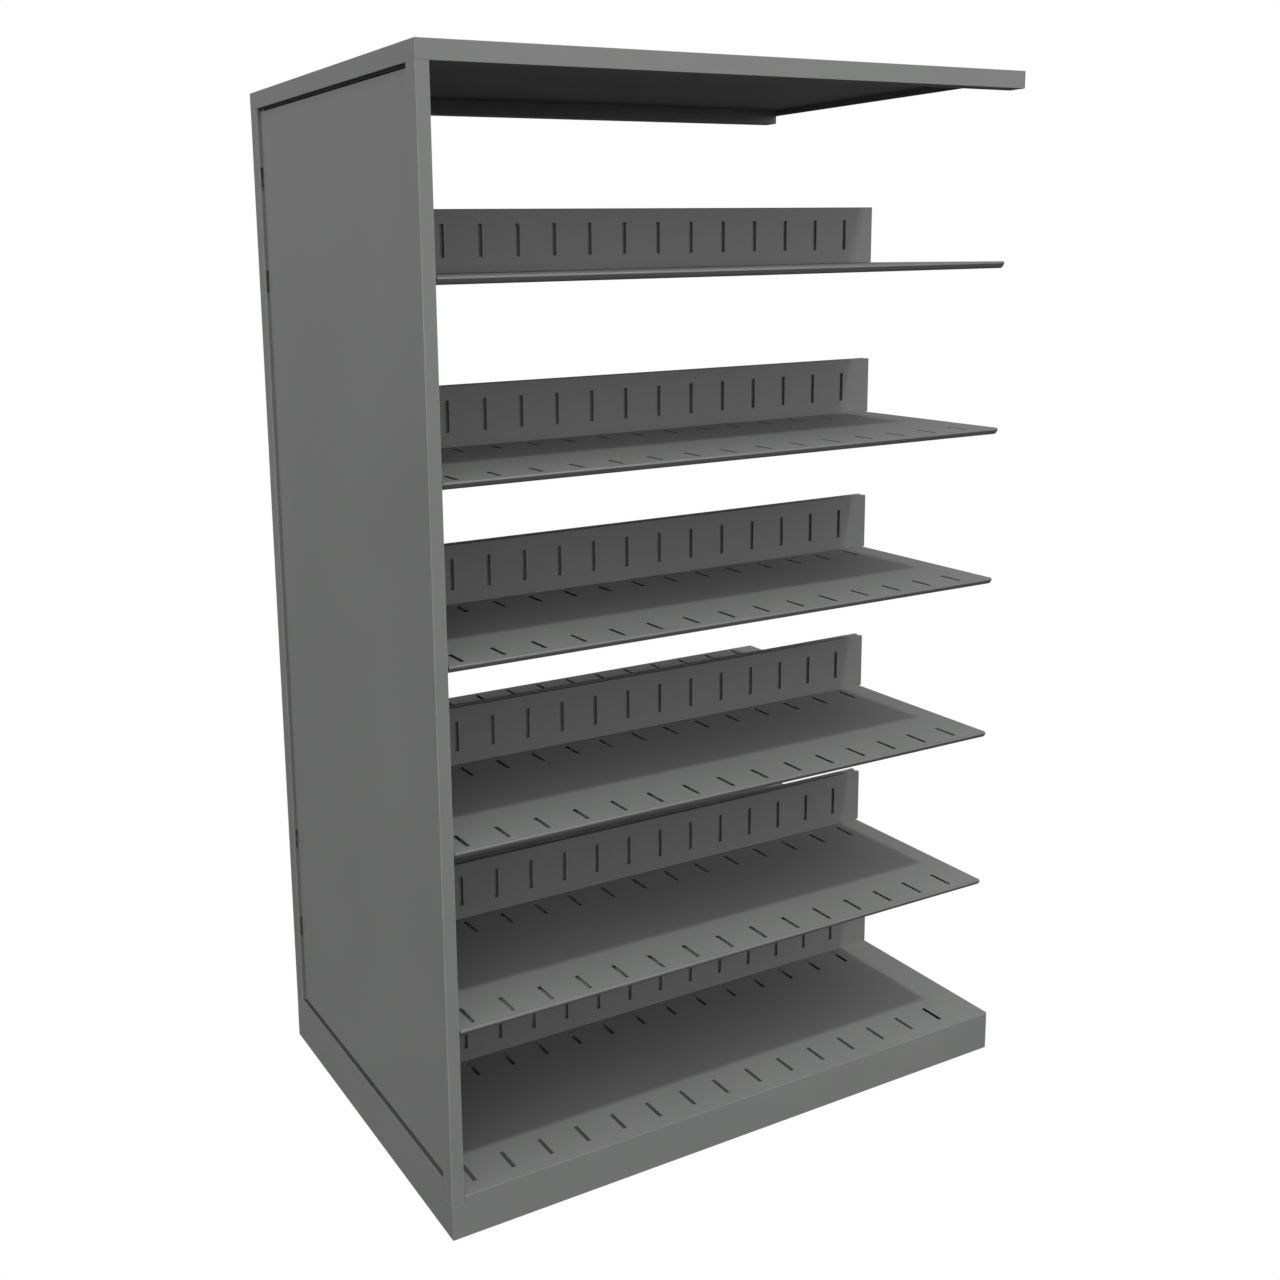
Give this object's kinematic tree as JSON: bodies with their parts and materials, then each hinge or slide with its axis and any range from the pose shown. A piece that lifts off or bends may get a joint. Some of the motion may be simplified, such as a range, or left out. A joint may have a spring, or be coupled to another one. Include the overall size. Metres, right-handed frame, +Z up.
{
  "type": "double sided library shelving",
  "caption": "Free-standing double sided sheet steel library bay: panelled end frame, canopy, plinth and slotted lift-off shelves with backstops on both aisles",
  "frame": {"origin": "bottom centre of the bay, on the floor", "axes": "+X along the bay from the panelled end frame to the open end, -Y to the front aisle, +Z up"},
  "size_m": [1.254, 0.79, 2],
  "materials": {
    "grey_powder_coat": "fine matt grey powder coat",
    "inner_powder_coat": "fine matt grey powder coat",
    "zinc_plate": "bright zinc plate"
  },
  "bodies": {
    "frame": {"canopy": "grey_powder_coat", "plinth_left_end": "grey_powder_coat", "plinth_right_end": "grey_powder_coat", "front_post": "grey_powder_coat", "rear_post": "grey_powder_coat", "plinth_front": "grey_powder_coat", "plinth_rear": "grey_powder_coat", "top_rail": "inner_powder_coat", "centre_upright": "inner_powder_coat", "base_bearer": "inner_powder_coat", "front_base_deck": "grey_powder_coat", "front_base_backstop": "grey_powder_coat", "front_shelf_1_arm": "inner_powder_coat", "front_shelf_2_arm": "inner_powder_coat", "front_shelf_3_arm": "inner_powder_coat", "front_shelf_4_arm": "inner_powder_coat", "front_shelf_5_arm": "inner_powder_coat", "front_left_gusset": "inner_powder_coat", "front_right_gusset": "inner_powder_coat", "rear_base_deck": "grey_powder_coat", "rear_base_backstop": "grey_powder_coat", "rear_shelf_1_arm": "inner_powder_coat", "rear_shelf_2_arm": "inner_powder_coat", "rear_shelf_3_arm": "inner_powder_coat", "rear_shelf_4_arm": "inner_powder_coat", "rear_shelf_5_arm": "inner_powder_coat", "rear_left_gusset": "inner_powder_coat", "rear_right_gusset": "inner_powder_coat"},
    "end_panel": {"end_panel": "grey_powder_coat"},
    "front_shelf_1": {"front_shelf_1_deck": "grey_powder_coat", "front_shelf_1_backstop": "grey_powder_coat"},
    "front_shelf_2": {"front_shelf_2_deck": "grey_powder_coat", "front_shelf_2_backstop": "grey_powder_coat"},
    "front_shelf_3": {"front_shelf_3_deck": "grey_powder_coat", "front_shelf_3_backstop": "grey_powder_coat"},
    "front_shelf_4": {"front_shelf_4_deck": "grey_powder_coat", "front_shelf_4_backstop": "grey_powder_coat"},
    "front_shelf_5": {"front_shelf_5_deck": "grey_powder_coat", "front_shelf_5_backstop": "grey_powder_coat"},
    "front_left_foot": {"front_left_foot": "zinc_plate"},
    "front_right_foot": {"front_right_foot": "zinc_plate"},
    "rear_shelf_1": {"rear_shelf_1_deck": "grey_powder_coat", "rear_shelf_1_backstop": "grey_powder_coat"},
    "rear_shelf_2": {"rear_shelf_2_deck": "grey_powder_coat", "rear_shelf_2_backstop": "grey_powder_coat"},
    "rear_shelf_3": {"rear_shelf_3_deck": "grey_powder_coat", "rear_shelf_3_backstop": "grey_powder_coat"},
    "rear_shelf_4": {"rear_shelf_4_deck": "grey_powder_coat", "rear_shelf_4_backstop": "grey_powder_coat"},
    "rear_shelf_5": {"rear_shelf_5_deck": "grey_powder_coat", "rear_shelf_5_backstop": "grey_powder_coat"},
    "rear_left_foot": {"rear_left_foot": "zinc_plate"},
    "rear_right_foot": {"rear_right_foot": "zinc_plate"}
  },
  "joints": [
    {"name": "end_panel_lift", "type": "slide", "parent": "frame", "child": "end_panel", "axis": [0, 0, 1], "range_m": [0, 0.0055]},
    {"name": "front_shelf_1_lift", "type": "slide", "parent": "frame", "child": "front_shelf_1", "axis": [0, 0, 1], "range_m": [0, 0.03]},
    {"name": "front_shelf_2_lift", "type": "slide", "parent": "frame", "child": "front_shelf_2", "axis": [0, 0, 1], "range_m": [0, 0.03]},
    {"name": "front_shelf_3_lift", "type": "slide", "parent": "frame", "child": "front_shelf_3", "axis": [0, 0, 1], "range_m": [0, 0.03]},
    {"name": "front_shelf_4_lift", "type": "slide", "parent": "frame", "child": "front_shelf_4", "axis": [0, 0, 1], "range_m": [0, 0.03]},
    {"name": "front_shelf_5_lift", "type": "slide", "parent": "frame", "child": "front_shelf_5", "axis": [0, 0, 1], "range_m": [0, 0.03]},
    {"name": "front_left_foot_screw", "type": "slide", "parent": "frame", "child": "front_left_foot", "axis": [0, 0, -1], "range_m": [0, 0.02]},
    {"name": "front_right_foot_screw", "type": "slide", "parent": "frame", "child": "front_right_foot", "axis": [0, 0, -1], "range_m": [0, 0.02]},
    {"name": "rear_shelf_1_lift", "type": "slide", "parent": "frame", "child": "rear_shelf_1", "axis": [0, 0, 1], "range_m": [0, 0.03]},
    {"name": "rear_shelf_2_lift", "type": "slide", "parent": "frame", "child": "rear_shelf_2", "axis": [0, 0, 1], "range_m": [0, 0.03]},
    {"name": "rear_shelf_3_lift", "type": "slide", "parent": "frame", "child": "rear_shelf_3", "axis": [0, 0, 1], "range_m": [0, 0.03]},
    {"name": "rear_shelf_4_lift", "type": "slide", "parent": "frame", "child": "rear_shelf_4", "axis": [0, 0, 1], "range_m": [0, 0.03]},
    {"name": "rear_shelf_5_lift", "type": "slide", "parent": "frame", "child": "rear_shelf_5", "axis": [0, 0, 1], "range_m": [0, 0.03]},
    {"name": "rear_left_foot_screw", "type": "slide", "parent": "frame", "child": "rear_left_foot", "axis": [0, 0, -1], "range_m": [0, 0.02]},
    {"name": "rear_right_foot_screw", "type": "slide", "parent": "frame", "child": "rear_right_foot", "axis": [0, 0, -1], "range_m": [0, 0.02]}
  ]
}
